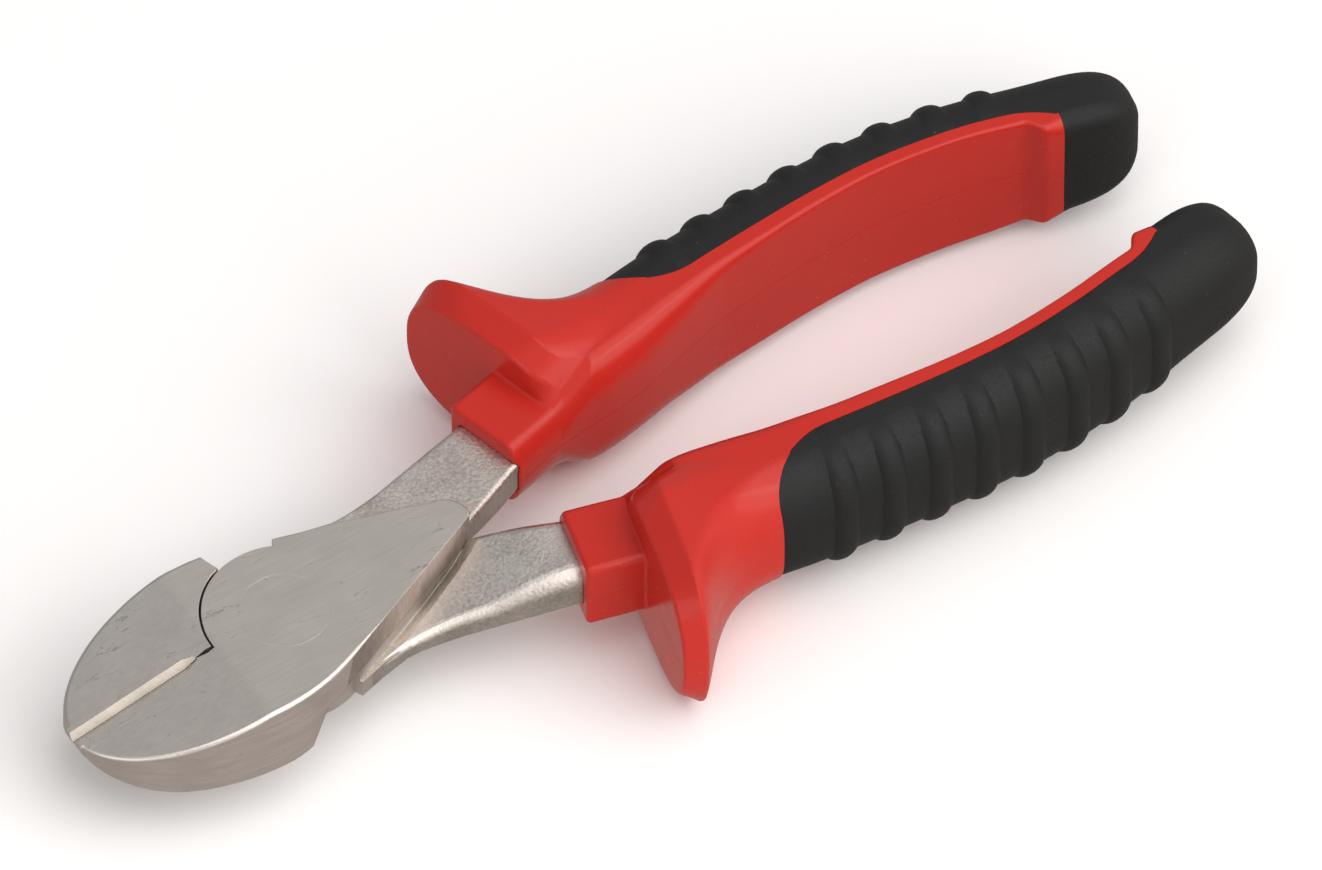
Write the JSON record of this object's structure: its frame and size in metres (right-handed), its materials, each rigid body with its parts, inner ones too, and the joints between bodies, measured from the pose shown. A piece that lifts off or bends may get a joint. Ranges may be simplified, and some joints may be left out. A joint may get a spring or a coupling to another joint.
{
  "type": "diagonal cutter",
  "caption": "Diagonal cutting pliers with a flush riveted lap joint, short rounded jaws, and hard grips with finger guards under ribbed soft overmoulds.",
  "frame": {"origin": "centre of the pivot rivet's flush front face", "axes": "+X from the pivot towards the handles, +Y towards the front half's handle, +Z out of the front face along the pivot axis"},
  "size_m": [0.1818, 0.0728, 0.027],
  "materials": {
    "forged_steel": "satin, ground on the faces and grainy on the tangs",
    "rivet_steel": "ground flush",
    "red_plastic": "moulded gloss",
    "black_overmould": "moulded matte"
  },
  "bodies": {
    "front": {"front_half": "forged_steel", "pivot_rivet": "rivet_steel", "front_grip_core": "red_plastic", "front_grip_overmould": "black_overmould"},
    "rear": {"rear_half": "forged_steel", "rear_grip_core": "red_plastic", "rear_grip_overmould": "black_overmould"}
  },
  "joints": [
    {"name": "pivot", "type": "hinge", "parent": "front", "child": "rear", "pos_m": [0, 0, 0], "axis": [0, 0, -1], "range_deg": [0, 40]}
  ]
}
